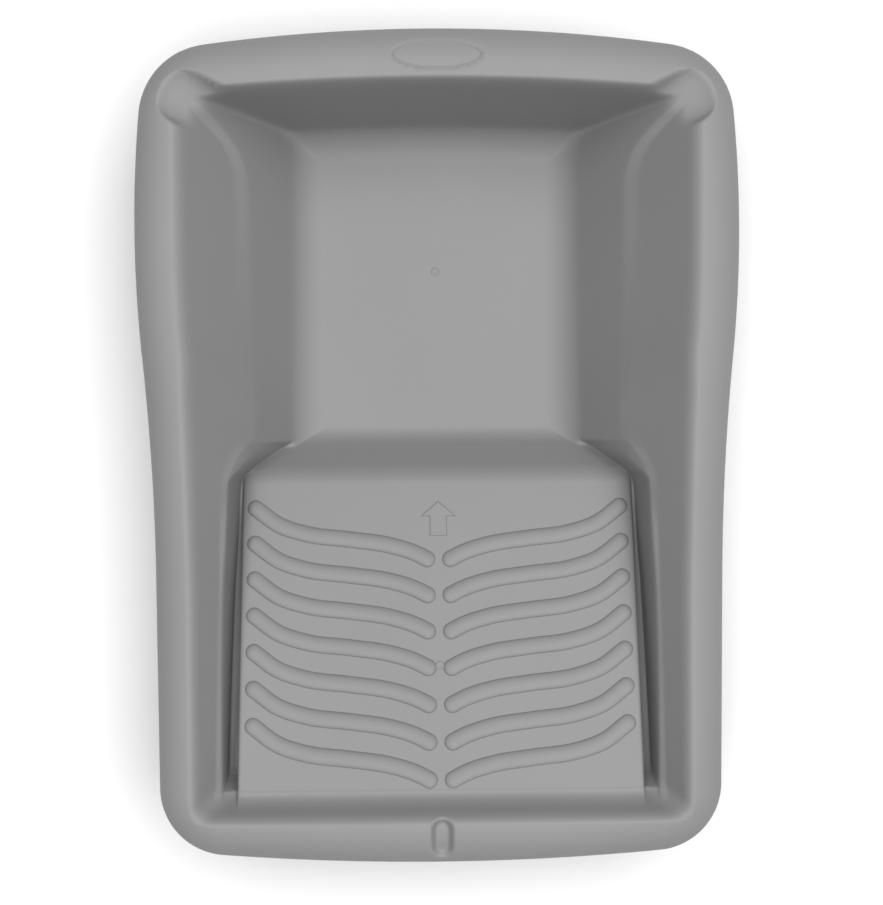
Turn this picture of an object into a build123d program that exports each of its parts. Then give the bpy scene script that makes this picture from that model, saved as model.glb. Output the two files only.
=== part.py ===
from build123d import *
import os
from math import atan2, cos, sin

# Deep-well paint roller tray for a 9 inch (229 mm) roller, one plastic moulding.
# Millimetres. +Z up, +Y towards the paint well, +X to the right of a person standing at
# the ramp end. The origin is under the middle of the tray, on the surface it stands on.
# The moulding is built as one shell and then cut along its own features, so every node is
# a closed solid and neighbours meet face to face.

# Driving dimensions
HEIGHT = 105.0          # standing surface to the top of the rim
WALL = 2.6              # moulded wall thickness
BACK_Y = 244.5          # outermost point of the rim at the well end
FRONT_Y = -244.5        # outermost point of the rim at the ramp end
SKIRT = 22.0            # how far the rim's outer skirt hangs below its top
RIM_ROLL = 16.0         # radius of the rim's outer shoulder

FLOOR_Z = WALL          # inside face of the well floor

# Outer outline of the rim, right half: a straight run, a waist and a bulge
SIDE_FRONT = (164.4, -235.6)
WAIST_START = (166.3, -75.0)
BULGE_START = (173.6, 52.0)
SIDE_BACK = (171.0, 230.0)
BACK_CORNER_R = 44.0
FRONT_CORNER_R = 40.0

# Sections of the tub's right side, back to front: the rim's inner edge, the top and foot of
# the ledge, and three points below it, which end the lower wall and cross to the floor.
# The ledge climbs beside the riser and again into the back corners.
WELL_FOOT = [(89.4, 14.0), (78.0, 6.0), (64.0, FLOOR_Z)]
SECTIONS = [
    (232.0, [(151.3, HEIGHT), (149.2, 102.0), (143.4, 100.0)] + WELL_FOOT),
    (200.0, [(151.3, HEIGHT), (146.0, 97.5), (138.7, 93.5)] + WELL_FOOT),
    (186.0, [(151.2, HEIGHT), (133.3, 79.0), (125.7, 72.5)] + WELL_FOOT),
    (163.0, [(151.0, HEIGHT), (121.3, 62.0), (113.9, 53.5)] + WELL_FOOT),
    (10.0, [(146.6, HEIGHT), (117.4, 62.0), (110.3, 52.0)] + WELL_FOOT),
    (-21.0, [(145.4, HEIGHT), (128.8, 79.5), (124.1, 75.0), (120.8, 66.0), (120.6, 31.0), (110.0, 31.0)]),
    (-90.0, [(143.8, HEIGHT), (130.4, 83.0), (125.3, 77.5), (124.3, 75.0), (123.6, 41.0), (110.0, 41.0)]),
    (-232.0, [(143.6, HEIGHT), (133.0, 86.0), (127.8, 80.5), (126.8, 78.0), (126.0, 74.0), (110.0, 74.0)]),
]
# Which way each of those points goes, as parts of the wall's thickness, to give the outside
SECTION_SPREAD = [(1.0, 0.0), (0.9, -0.5), (0.9, -0.5), (0.9, -0.5), (0.7, -0.9), (0.0, -1.0)]

# Back wall: drafted, with a fillet at the floor
BACK_EDGE_Y = 211.5
BACK_FOOT = (199.7, 22.2)       # where the drafted face meets the fillet, as (Y, Z)
BACK_FILLET = (192.0, 8.2)      # a point half way round that fillet
BACK_FLOOR_Y = 177.0            # where the fillet runs out on the floor
BACK_SPREAD = (0.8, -0.6)       # which way that point goes to give the outside

# End wall, from the top of the ramp to the front rim; it also closes the gutters
FRONT_EDGE_Y = -216.8
END_WALL_DROP = 60.0    # how far down it is carried, past the gutters' floors

# Ramp and riser, as points along the middle: (Y, Z)
RAMP_HALF = 119.8
RAMP_FOOT = (-22.0, 36.3)
RAMP_TOP = (-208.2, 86.5)
RAMP_END_Z = 96.3       # the ramp carried on under the front wall
RISER_FOOT = (7.3, FLOOR_Z)
RISER_HEAD = (-14.5, 31.2)
RISER_FOOT_SPREAD = -1.2        # how far the riser's foot and head go, as parts of the wall's
RISER_HEAD_SPREAD = -0.7        # thickness, to give its underside
RAMP_ANGLE = atan2(RAMP_TOP[1] - RAMP_FOOT[1], RAMP_FOOT[0] - RAMP_TOP[0])
RAMP_NORMAL = (0, sin(RAMP_ANGLE), cos(RAMP_ANGLE))

# Ribs: the centre line of one rib, from its outer end, as (distance from the middle, along Y)
RIB_PATH = [(111.4, 0.0), (97.0, -10.2), (80.0, -15.8), (54.0, -19.4), (30.0, -23.0), (7.0, -31.3)]
RIB_ROWS = 7
RIB_FIRST_Y = -37.8
RIB_PITCH_Y = 21.37
RIB_WIDTH = 9.6
RIB_HEIGHT = 2.4
RIB_EDGE = 1.2         # chamfer round the top of a rib

# Arrow that points to the well
ARROW_Y = -44.6
ARROW_WIDTH = 21.8
ARROW_LENGTH = 21.2
ARROW_SHAFT = 10.5
ARROW_HEAD = 9.4
ARROW_HEIGHT = 0.75

# Blank oval recess in the back rim
BADGE_Y = 226.2
BADGE_LENGTH = 56.0
BADGE_WIDTH = 17.6
BADGE_DEPTH = 0.9

# Pouring spouts: round-ended troughs in the back corners that fall towards the tub
SPOUT_X = 147.1
SPOUT_Y = 202.0
SPOUT_R = 18.0
SPOUT_RISE = 9.0        # height of the trough's centre above the rim
SPOUT_TURN = 30.0       # degrees between the trough and the X axis, in plan
SPOUT_FALL = 22.0       # degrees by which the trough falls
SPOUT_RUN = 18.0
SPOUT_CUT_R = 20.5      # plan radius where the spout is parted from the rim

# Notch for the roller's handle, in the middle of the front rim
NOTCH_TOP = 15.0
NOTCH_FLOOR = 5.4
NOTCH_DEPTH = 5.0
NOTCH_OUTER_Y = -240.5

# Where the shell is parted into nodes
PART_BACK_Y = 186.0
PART_RISER_Y = 10.0
PART_END_Y = -204.0
PART_RIM_X = 122.0
PART_RIM_BACK_Y = 190.0
PART_RIM_FRONT_Y = -200.0
PART_NOTCH_X = 13.0
PART_FLOOR_X = 74.0
PART_LEDGE = [(118.0, 240.0), (111.0, 12.0), (126.0, -22.0), (129.0, -240.0)]
FAR = 400.0             # longer than the tray, for cutting tools
MARGIN = 1.0            # how far cutting tools run past what they cut


def box(x0, x1, y0, y1, z0, z1):
    """An axis-aligned block between two corners."""
    block = Box(x1 - x0, y1 - y0, z1 - z0, align=Align.MIN)
    return Pos(x0, y0, z0) * block


def mirrored(points):
    """A closed run of points: the right half, then its mirror image in X."""
    return points + [(-x, y) for x, y in reversed(points)]


def polygon(points, plane):
    """A flat face through the points, on the plane."""
    return plane * make_face(Polyline(*points, close=True))


def cross_plane(y):
    """The upright plane across the tray at a station along Y, facing the ramp end."""
    return Plane((0, y, 0), x_dir=(1, 0, 0), z_dir=(0, -1, 0))


def rim_outline():
    """The rim's outer outline as one face at z = 0."""
    side = Line(SIDE_FRONT, WAIST_START)
    waist = TangentArc(WAIST_START, BULGE_START, tangent=side % 1)
    bulge = TangentArc(BULGE_START, SIDE_BACK, tangent=waist % 1)
    right = [side, waist, bulge]
    left = [edge.mirror(Plane.YZ) for edge in right]
    back = ThreePointArc(SIDE_BACK, (0, BACK_Y), (-SIDE_BACK[0], SIDE_BACK[1]))
    front = ThreePointArc(SIDE_FRONT, (0, FRONT_Y), (-SIDE_FRONT[0], SIDE_FRONT[1]))
    face = make_face(right + [back] + left + [front])
    face = fillet(face.vertices().sort_by(Axis.Y)[-2:], BACK_CORNER_R)
    return fillet(face.vertices().sort_by(Axis.Y)[:2], FRONT_CORNER_R)


def inset_edge(edge, inset):
    """A line or arc of the outline, moved square to itself towards the tray's middle."""
    points = []
    for t in (0, 0.5, 1):
        tangent = edge % t
        outward = Vector(tangent.Y, -tangent.X)
        if outward.dot(edge @ t) < 0:
            outward = -outward
        points.append(edge @ t - outward * inset)
    if edge.geom_type == GeomType.LINE:
        return Line(points[0], points[2])
    return ThreePointArc(*points)


def rim_block(inset):
    """The rolled rim as a full block, inset by a wall for the hollow beneath it."""
    outline = make_face([inset_edge(edge, inset) for edge in rim_outline().edges()])
    block = extrude(Pos(0, 0, HEIGHT - SKIRT) * outline, amount=SKIRT - inset)
    return fillet(block.faces().sort_by(Axis.Z)[-1].edges(), RIM_ROLL - inset)


def tub_section(y, half, grow):
    """A section across the tub, from the points of its right half, moved out by the wall."""
    right = [(x + dx * grow, z + dz * grow) for (x, z), (dx, dz) in zip(half, SECTION_SPREAD)]
    return polygon(mirrored([(right[0][0] + MARGIN, HEIGHT + MARGIN)] + right), cross_plane(y))


def basin(grow):
    """The space between the side walls, from the floor and the gutters up past the rim."""
    return loft([tub_section(y, half, grow) for y, half in SECTIONS], ruled=True)


def end_limit(grow):
    """Everything between the back wall, with its fillet at the floor, and the end wall."""
    lean = (FRONT_EDGE_Y - RAMP_TOP[0]) / (HEIGHT - RAMP_TOP[1])
    points = [
        (BACK_EDGE_Y + grow, HEIGHT + MARGIN),
        (BACK_FOOT[0] + grow, BACK_FOOT[1]),
        (BACK_FILLET[0] + BACK_SPREAD[0] * grow, BACK_FILLET[1] + BACK_SPREAD[1] * grow),
        (BACK_FLOOR_Y, FLOOR_Z - grow),
        (BACK_FLOOR_Y, -MARGIN),
        (FRONT_EDGE_Y - lean * END_WALL_DROP - grow, -MARGIN),
        (FRONT_EDGE_Y - lean * END_WALL_DROP - grow, HEIGHT - END_WALL_DROP),
        (FRONT_EDGE_Y + lean * MARGIN - grow, HEIGHT + MARGIN),
    ]
    return extrude(polygon(points, Plane.YZ), amount=FAR, both=True)


def ramp_island(shrink):
    """The raised ramp with its riser, as a solid that stands in the tub."""
    lower = shrink / cos(RAMP_ANGLE)
    riser_foot_y = RISER_FOOT[0] + RISER_FOOT_SPREAD * shrink
    points = [
        (riser_foot_y, FLOOR_Z - shrink),
        (RISER_HEAD[0] + RISER_HEAD_SPREAD * shrink, RISER_HEAD[1] - shrink),
        (RAMP_FOOT[0], RAMP_FOOT[1] - lower),
        (RAMP_TOP[0], RAMP_TOP[1] - lower),
        (FRONT_Y, RAMP_END_Z - lower),
        (FRONT_Y, -MARGIN),
        (riser_foot_y, -MARGIN),
    ]
    return extrude(polygon(points, Plane.YZ), amount=RAMP_HALF - shrink, both=True)


def tub(grow):
    """The whole inside of the tray, or its outside when grown by the wall."""
    return (basin(grow) & end_limit(grow)) - ramp_island(grow)


def both_sides(shape):
    """A shape on the right and its mirror image on the left."""
    return shape + mirror(shape, about=Plane.YZ)


def spout_trough(grow):
    """The trough of the right pouring spout, or its outside when grown by the wall."""
    ball = Sphere(SPOUT_R + grow)
    run = Cylinder(SPOUT_R + grow, SPOUT_RUN, align=(Align.CENTER, Align.CENTER, Align.MAX))
    place = Pos(SPOUT_X, SPOUT_Y, HEIGHT + SPOUT_RISE) * Rot(0, 0, SPOUT_TURN)
    return place * (ball + Rot(0, 90 - SPOUT_FALL, 0) * run)


def notch_block(grow):
    """The groove across the front rim, or its outside when grown by the wall."""
    floor_z = HEIGHT - NOTCH_DEPTH - grow
    slope = (NOTCH_TOP - NOTCH_FLOOR) / 2 / NOTCH_DEPTH
    floor_half = NOTCH_FLOOR / 2 + 0.5 * grow
    top_half = floor_half + slope * (NOTCH_DEPTH + grow + MARGIN)
    inner_y = FRONT_EDGE_Y + MARGIN
    points = mirrored([(top_half, HEIGHT + MARGIN), (floor_half, floor_z)])
    profile = polygon(points, cross_plane(inner_y))
    return extrude(profile, amount=inner_y - NOTCH_OUTER_Y + grow)


def on_ramp(sketch):
    """A sketch drawn in plan about the ramp's foot, laid on the ramp's surface."""
    return Plane((0, *RAMP_FOOT), x_dir=(1, 0, 0), z_dir=RAMP_NORMAL) * sketch


def along_ramp(y):
    """How far up the ramp's slope a plan position lies, as a local Y on the ramp."""
    return (y - RAMP_FOOT[0]) / cos(RAMP_ANGLE)


def rib(row):
    """One right-hand rib of the ramp: a raised S-curved bead with rounded ends and edges."""
    start_y = RIB_FIRST_Y - row * RIB_PITCH_Y
    points = [(x, along_ramp(start_y + dy)) for x, dy in RIB_PATH]
    centre = Spline(*points)
    plan = trace(centre, RIB_WIDTH)
    for end in (points[0], points[-1]):
        plan += Pos(*end) * Circle(RIB_WIDTH / 2)
    bead = extrude(on_ramp(plan), amount=RIB_HEIGHT)
    up = Axis((0, *RAMP_FOOT), RAMP_NORMAL)
    top = bead.faces().sort_by(up)[-1]
    return chamfer(top.edges(), RIB_EDGE)


def arrow():
    """The raised arrow at the head of the ramp."""
    tip = along_ramp(ARROW_Y + ARROW_LENGTH / 2)
    tail = along_ramp(ARROW_Y - ARROW_LENGTH / 2)
    shoulder = tip - ARROW_HEAD
    right = [
        (0, tip),
        (ARROW_WIDTH / 2, shoulder),
        (ARROW_SHAFT / 2, shoulder),
        (ARROW_SHAFT / 2, tail),
    ]
    left = [(-x, y) for x, y in reversed(right[1:])]
    sketch = make_face(Polyline(*right, *left, close=True))
    return extrude(on_ramp(sketch), amount=ARROW_HEIGHT)


def rim_with_details():
    """The hollow rolled rim with its spouts, handle notch and blank oval recess."""
    full = rim_block(0)
    hollow = full - rim_block(WALL)
    skins = both_sides(spout_trough(WALL)) + notch_block(WALL)
    badge = extrude(Ellipse(BADGE_LENGTH / 2, BADGE_WIDTH / 2), amount=SKIRT)
    badge = Pos(0, BADGE_Y, HEIGHT - BADGE_DEPTH) * badge
    return hollow + (skins & full) - badge


def share_out(shape, regions):
    """Part a shape between named regions; each takes what the ones before it have left."""
    shares = {}
    for name, region in regions.items():
        shares[name] = shape & region
        shape = shape - region
    return shares


def rim_regions():
    """Blocks that part the rim: the spouts and the handle notch, then the sides."""
    spout = Pos(SPOUT_X, SPOUT_Y, HEIGHT) * Cylinder(SPOUT_CUT_R, 2 * (SKIRT + MARGIN))
    return {
        "right_spout": spout,
        "left_spout": mirror(spout, about=Plane.YZ),
        "back_rim": box(-PART_RIM_X, PART_RIM_X, PART_RIM_BACK_Y, FAR, 0, FAR),
        "handle_notch": box(-PART_NOTCH_X, PART_NOTCH_X, -FAR, PART_RIM_FRONT_Y, 0, FAR),
        "right_front_rim": box(0, FAR, -FAR, PART_RIM_FRONT_Y, 0, FAR),
        "left_front_rim": box(-FAR, 0, -FAR, PART_RIM_FRONT_Y, 0, FAR),
        "right_rim": box(0, FAR, -FAR, FAR, 0, FAR),
        "left_rim": box(-FAR, 0, -FAR, FAR, 0, FAR),
    }


def wall_regions():
    """Blocks that part the tub along its own features."""
    gutter_x = RAMP_HALF - WALL
    beyond = polygon(PART_LEDGE + [(FAR, -FAR), (FAR, FAR)], Plane.XY)
    ledge_out = extrude(beyond, amount=FAR)
    return {
        "back_wall": box(-FAR, FAR, PART_BACK_Y, FAR, 0, FAR),
        "front_wall": box(-FAR, FAR, -FAR, PART_END_Y, 0, FAR),
        "right_side_wall": ledge_out,
        "left_side_wall": mirror(ledge_out, about=Plane.YZ),
        "right_gutter": box(gutter_x, FAR, -FAR, PART_RISER_Y, 0, FAR),
        "left_gutter": box(-FAR, -gutter_x, -FAR, PART_RISER_Y, 0, FAR),
        "ramp": box(-FAR, FAR, -FAR, RAMP_FOOT[0], 0, FAR),
        "riser": box(-FAR, FAR, RAMP_FOOT[0], PART_RISER_Y, 0, FAR),
        "right_well_wall": box(PART_FLOOR_X, FAR, PART_RISER_Y, FAR, 0, FAR),
        "left_well_wall": box(-FAR, -PART_FLOOR_X, PART_RISER_Y, FAR, 0, FAR),
        "well_floor": box(-FAR, FAR, -FAR, FAR, -FAR, FAR),
    }


def main():
    """Build the shell, part it, add the ramp's ribs and arrow, and write one file per node."""
    os.makedirs("parts", exist_ok=True)
    inside = tub(0)
    outside = tub(WALL) & box(-FAR, FAR, -FAR, FAR, 0, HEIGHT)
    cuts = both_sides(spout_trough(0)) + notch_block(0)
    nodes = share_out(rim_with_details() - cuts - outside, rim_regions())
    nodes.update(share_out(outside - inside - cuts, wall_regions()))
    for row in range(RIB_ROWS):
        bead = rib(row)
        nodes["right_rib_" + str(row + 1)] = bead
        nodes["left_rib_" + str(row + 1)] = mirror(bead, about=Plane.YZ)
    nodes["arrow"] = arrow()
    for name, shape in nodes.items():
        export_step(shape, "parts/" + name + ".step")


main()
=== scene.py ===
from math import atan2, cos, hypot, inf, pi, radians, sin, sqrt, tan

import bmesh
import bpy
import numpy as np
from mathutils import Matrix, Vector


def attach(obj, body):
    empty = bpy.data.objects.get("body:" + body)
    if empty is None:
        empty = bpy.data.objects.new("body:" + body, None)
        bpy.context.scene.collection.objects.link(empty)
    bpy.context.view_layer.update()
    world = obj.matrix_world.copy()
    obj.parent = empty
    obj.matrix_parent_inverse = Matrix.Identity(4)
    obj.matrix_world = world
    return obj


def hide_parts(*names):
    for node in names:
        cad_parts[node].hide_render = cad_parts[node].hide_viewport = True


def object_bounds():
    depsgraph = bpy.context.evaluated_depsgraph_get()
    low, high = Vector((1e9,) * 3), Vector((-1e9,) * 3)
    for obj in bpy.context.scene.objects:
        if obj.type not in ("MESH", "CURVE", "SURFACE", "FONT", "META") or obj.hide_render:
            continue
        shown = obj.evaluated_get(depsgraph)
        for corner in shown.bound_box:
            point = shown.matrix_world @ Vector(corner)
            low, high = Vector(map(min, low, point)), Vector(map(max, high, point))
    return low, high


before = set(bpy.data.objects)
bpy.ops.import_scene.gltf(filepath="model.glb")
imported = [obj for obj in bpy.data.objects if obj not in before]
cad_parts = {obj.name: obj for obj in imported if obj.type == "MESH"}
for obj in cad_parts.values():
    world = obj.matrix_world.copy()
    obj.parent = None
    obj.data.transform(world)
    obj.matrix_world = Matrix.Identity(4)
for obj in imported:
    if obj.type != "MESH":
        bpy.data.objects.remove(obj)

cad_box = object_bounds()

# The looks of a deep-well paint roller tray, one matte grey plastic moulding.
# Lengths below are millimetres in the CAD frame, and become metres when a mesh is made.
MM = 0.001
box_low, box_high = (corner / MM for corner in cad_box)

# Rim
RIM_TOP = box_high.z
WALL = 2.6
ROLL_WIDTH = 24.0        # how far the rolled edge reaches inwards before the rim is level
ROLL_DROP = 18.0         # how far the roll falls before it turns into the upright skirt
LIP_Z = RIM_TOP - 22.0   # lowest point of the skirt
BACK_Y = box_high.y
FRONT_Y = box_low.y
SIDE_FRONT = (164.4, -235.6)
WAIST_START = (166.3, -75.0)
BULGE_START = (173.6, 52.0)
SIDE_BACK = (171.0, 230.0)
BACK_CORNER_R = 44.0
FRONT_CORNER_R = 40.0
BACK_EDGE_Y = 211.5      # inner edge of the back rim
FRONT_EDGE_Y = -216.8

# Tub
FLOOR_Z = WALL
KNEE_Z = 21.0            # height at which KNEE_X gives the lower wall's distance from the middle
BACK_FLOOR_Y = 177.0     # where the floor meets the fillet of the back wall
BACK_FILLET = 23.0
BACK_DRAFT = radians(8.5)
BACK_BOW = 0.00033       # the back wall bows like the rim: its Y falls by this times X squared
GUTTER_END_Y = -198.0
GUTTER_END_SLOPE = 3.0
END_WALL_FOOT = (-208.2, 86.5)

# Ramp and riser
RAMP_HALF = 119.8
RAMP_FOOT_Y = -26.6
RAMP_FOOT_Z = 37.5
RAMP_SLOPE = 0.27
RISER_SLOPE = 1.31
RISER_Y = 7.3            # where the riser's face would meet the floor without its fillet
RISER_CORNER_R = 5.0
SIDE_SLOPE = 28.0        # steepness of the ramp's sides, from their draft
ROLL_OFF_DROP = 0.45     # how far the ramp's rolled edges fall, as a share of their width

# Spouts, notch, badge
SPOUT = (147.1, 202.0)
SPOUT_R = 15.6
SPOUT_TURN = radians(30.0)   # direction of the spout's trough, from the X axis
SPOUT_BEND = 7.0         # how far behind the spout's middle its end wall begins
SPOUT_END_DEPTH = 3.0
SPOUT_FALL = 0.42
SPOUT_LIP_SLOPE = 6.0    # how steeply its surface is carried up past its edge
TINY = 0.0001            # keeps a root from reaching zero
NOTCH_Y = -228.0
NOTCH_R = 7.4            # half the notch's width, and the radius of its round ends
NOTCH_STRAIGHT = 5.1     # half the length of its straight sides
NOTCH_FLANK = 4.4        # width of its sloping sides in plan
NOTCH_DEPTH = 5.0
BADGE_Y = 226.2
BADGE = (27.4, 9.2)
BADGE_EDGE = 0.6         # width of the step round it
BADGE_DEPTH = 0.9

# The tub's section, as stations (Y, value); between them each value changes smoothly.
# The lower and the upper side wall run the whole length, and the ledge between them climbs
# beside the riser and again into the back corners.
KNEE_X = [(-231, 104.0), (-176, 103.6), (-90, 102.7), (-48, 95.7), (-28, 95.0), (12, 93.7), (230, 93.7)]
LOWER_SLOPE = [(-231, 2.5), (-90, 2.5), (-48, 1.9), (-28, 1.78), (12, 1.85), (60, 1.68), (116, 1.61),
               (230, 1.61)]
BOTTOM_R = [(-231, 4.0), (-16, 8.0), (8, 27.0), (230, 27.0)]
# Height of the ledge's lower and upper edge
LEDGE_LOW = [(-231, 80.5), (-176, 79.5), (-90, 77.5), (-30, 76.0), (-21, 75.0), (-12, 71.0), (-2.4, 63.5),
             (2.4, 57.5), (7, 52.5), (12, 51.8), (160, 53.5), (166.5, 55.5), (177.4, 61.3), (186.6, 73.0),
             (196, 89.0), (204, 101.0), (230, 103.0)]
LEDGE_HIGH = [(-231, 86.0), (-176, 85.0), (-90, 83.0), (-30, 80.0), (-22, 79.5), (-14, 77.5), (-7, 73.5),
              (2, 65.0), (8, 62.0), (160, 62.0), (167, 63.5), (177.4, 69.0), (186.6, 79.0), (196, 93.0),
              (204, 102.5), (230, 104.0)]
UPPER_SLOPE = [(-231, 1.8), (-176, 1.75), (-90, 1.64), (-28, 1.54), (12, 1.47), (116, 1.45), (230, 1.45)]
RIM_EDGE = [(-231, 143.6), (-90, 143.8), (-44, 144.8), (26, 147.0), (114, 150.4), (165, 151.0),
            (231, 151.3)]
# Width of the ramp's rolled edges
ROLL_OFF = [(-231, 2.0), (-150, 3.0), (-60, 7.0), (-25, 11.0), (230, 11.0)]
# The gutter's outer foot, its floor and its outer wall's slope; past the riser there is no gutter
NO_GUTTER = 200.0        # a floor above everything
GUTTER_OUT = [(-231, 126.8), (-176, 126.4), (-90, 124.3), (-48, 122.0), (-28, 121.2), (-22, 120.4),
              (-18, 118.2), (-15, 115.0), (-12, 111.5), (-8, 106.0), (0, 94.6), (4, 89.5), (12, 85.0),
              (230, 84.0)]
GUTTER_Z = [(-231, 68.0), (-176, 58.0), (-90, 41.0), (-48, 34.5), (-28, 32.0), (-20, 31.0), (-15, 30.5),
            (-12, 27.5), (-8, 22.5), (0, 12.5), (3, 14.0), (8, 40.0), (14, NO_GUTTER), (230, NO_GUTTER)]
GUTTER_SLOPE = [(-231, 14.0), (-28, 14.0), (-20, 11.0), (-12, 6.0), (-4, 3.2), (4, 2.0), (230, 2.0)]

# Fillets and rounds, as the height over which two surfaces blend
NO_FILLET = 0.01
LEAST_LEDGE = 1.0        # least width of the ledge in plan
LEDGE_REACH = 3.0        # how far in plan the ledge's own slope is carried below its lower edge
LEDGE_LOW_ROUND = 0.5
LEDGE_HIGH_ROUND = 0.4
GUTTER_ROUND = 1.4       # as a share of the gutter wall's slope
RISER_FILLET = 8.0
RISER_ROUND = 6.2        # between the riser and the ramp
CREASE = 1.5             # between the side walls and the ramp or riser
BACK_CORNER_FILLET = 10.0
SPOUT_ROUND = 3.0
END_FILLET = 8.0         # between the ramp and the end wall
END_CORNER_FILLET = 18.0
END_CORNER = (118.0, 130.0)
SIDE_RIM_ROUND = 6.5     # between the walls and the rim
BACK_RIM_ROUND = 20.0
FRONT_RIM_ROUND = 7.5
RIM_ROUND_FADE = 8.0     # height over which one of those rounds gives way to the next
FLOOR_FADE = 12.0        # height above the floor at which the fillets reach their full size


def smooth_curve(stations, y):
    """A smooth curve through the stations, without overshoot, at the places y."""
    ys = np.array([s[0] for s in stations], float)
    vs = np.array([s[1] for s in stations], float)
    step = np.diff(ys)
    slope = np.diff(vs) / step
    tangent = np.zeros(len(ys))
    same = slope[:-1] * slope[1:] > 0
    weight = 3 * (step[:-1] + step[1:])
    near, far = 2 * step[1:] + step[:-1], step[1:] + 2 * step[:-1]
    safe = np.where(same, slope[:-1], 1), np.where(same, slope[1:], 1)
    tangent[1:-1] = np.where(same, weight / (near / safe[0] + far / safe[1]), 0)
    y = np.clip(y, ys[0], ys[-1])
    k = np.clip(np.searchsorted(ys, y) - 1, 0, len(step) - 1)
    t = (y - ys[k]) / step[k]
    return (vs[k] * (1 + 2 * t) * (1 - t) ** 2 + tangent[k] * step[k] * t * (1 - t) ** 2
            + vs[k + 1] * t * t * (3 - 2 * t) + tangent[k + 1] * step[k] * t * t * (t - 1))


def smooth_max(a, b, reach):
    """The higher of two surfaces, with a fillet where they cross."""
    gap = np.maximum(reach - np.abs(a - b), 0)
    return np.maximum(a, b) + gap * gap / (4 * reach)


def smooth_min(a, b, reach):
    """The lower of two surfaces, with a round where they cross."""
    return -smooth_max(-a, -b, reach)


# ---------------------------------------------------------------- the rim's outer outline

def tangent_arc(start, end, angle):
    """An arc from start to end that leaves start at an angle from +Y towards +X."""
    run, rise = end[0] - start[0], end[1] - start[1]
    turn = atan2(run, rise) - angle
    radius = hypot(run, rise) / (2 * sin(turn))
    centre = (start[0] + radius * cos(angle), start[1] - radius * sin(angle))
    return centre, radius, angle + 2 * turn


side_angle = atan2(WAIST_START[0] - SIDE_FRONT[0], WAIST_START[1] - SIDE_FRONT[1])
WAIST_CENTRE, WAIST_R, waist_end = tangent_arc(WAIST_START, BULGE_START, side_angle)
BULGE_CENTRE, BULGE_R, _ = tangent_arc(BULGE_START, SIDE_BACK, waist_end)


def end_arc(corner, end_y):
    """Radius and centre height of the arc across the tray from one corner through (0, end_y)."""
    sag = end_y - corner[1]
    radius = (corner[0] ** 2 + sag ** 2) / (2 * abs(sag))
    return radius, end_y - radius * (1 if sag > 0 else -1)


BACK_R, BACK_CENTRE_Y = end_arc(SIDE_BACK, BACK_Y)
FRONT_R, FRONT_CENTRE_Y = end_arc(SIDE_FRONT, FRONT_Y)


def side_x(y, inset=0.0):
    """Half-width of the outline at y, on the side's line and two arcs."""
    y = np.asarray(y, float)
    line = SIDE_FRONT[0] + (y - SIDE_FRONT[1]) * tan(side_angle) - inset / cos(side_angle)
    waist_r = WAIST_R + inset
    waist = WAIST_CENTRE[0] - np.sqrt(np.maximum(waist_r ** 2 - (y - WAIST_CENTRE[1]) ** 2, 0))
    bulge_r = abs(BULGE_R) - inset
    bulge = BULGE_CENTRE[0] + np.sqrt(np.maximum(bulge_r ** 2 - (y - BULGE_CENTRE[1]) ** 2, 0))
    return np.where(y < WAIST_START[1], line, np.where(y < BULGE_START[1], waist, bulge))


def end_y(x, back, inset=0.0):
    """Where the outline's back or front arc is at x."""
    if back:
        return BACK_CENTRE_Y + np.sqrt((BACK_R - inset) ** 2 - np.square(x))
    return FRONT_CENTRE_Y - np.sqrt((FRONT_R - inset) ** 2 - np.square(x))


CORNER_ROUNDS = 40       # repeats that bring a corner's centre to rest


def corner_centre(back, radius):
    """Centre of a corner's arc, which touches both the side and the end arc."""
    x = SIDE_FRONT[0] - radius
    for _ in range(CORNER_ROUNDS):
        y = float(end_y(x, back, radius))
        x = float(side_x(y, radius))
    return x, y


BACK_CORNER = corner_centre(True, BACK_CORNER_R)
FRONT_CORNER = corner_centre(False, FRONT_CORNER_R)
BACK_TURN = (atan2(BACK_CORNER[1] - BULGE_CENTRE[1], BACK_CORNER[0] - BULGE_CENTRE[0]),
             atan2(BACK_CORNER[1] - BACK_CENTRE_Y, BACK_CORNER[0]))
FRONT_TURN = (-side_angle, atan2(FRONT_CORNER[1] - FRONT_CENTRE_Y, FRONT_CORNER[0]))


def rim_distance(x, y):
    """How far a point lies inside the rim's outer outline."""
    x = np.abs(x)
    bulge = abs(BULGE_R) - np.hypot(x - BULGE_CENTRE[0], y - BULGE_CENTRE[1])
    waist = np.hypot(x - WAIST_CENTRE[0], y - WAIST_CENTRE[1]) - WAIST_R
    line = (side_x(y) - x) * cos(side_angle)
    side = np.where(y > BULGE_START[1], bulge, np.where(y > WAIST_START[1], waist, line))
    back = BACK_R - np.hypot(x, y - BACK_CENTRE_Y)
    front = FRONT_R - np.hypot(x, y - FRONT_CENTRE_Y)
    inside = np.minimum(side, np.minimum(back, front))
    for centre, radius, turn in ((BACK_CORNER, BACK_CORNER_R, BACK_TURN),
                                 (FRONT_CORNER, FRONT_CORNER_R, FRONT_TURN)):
        angle = np.arctan2(y - centre[1], x - centre[0])
        low, high = min(turn), max(turn)
        corner = radius - np.hypot(x - centre[0], y - centre[1])
        inside = np.where((angle > low) & (angle < high), corner, inside)
    return inside


# ---------------------------------------------------------------- the surface's height

def ramp_plane(y):
    """Height of the ramp's surface between its rolled edges."""
    return RAMP_FOOT_Z + (RAMP_FOOT_Y - y) * RAMP_SLOPE


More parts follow.
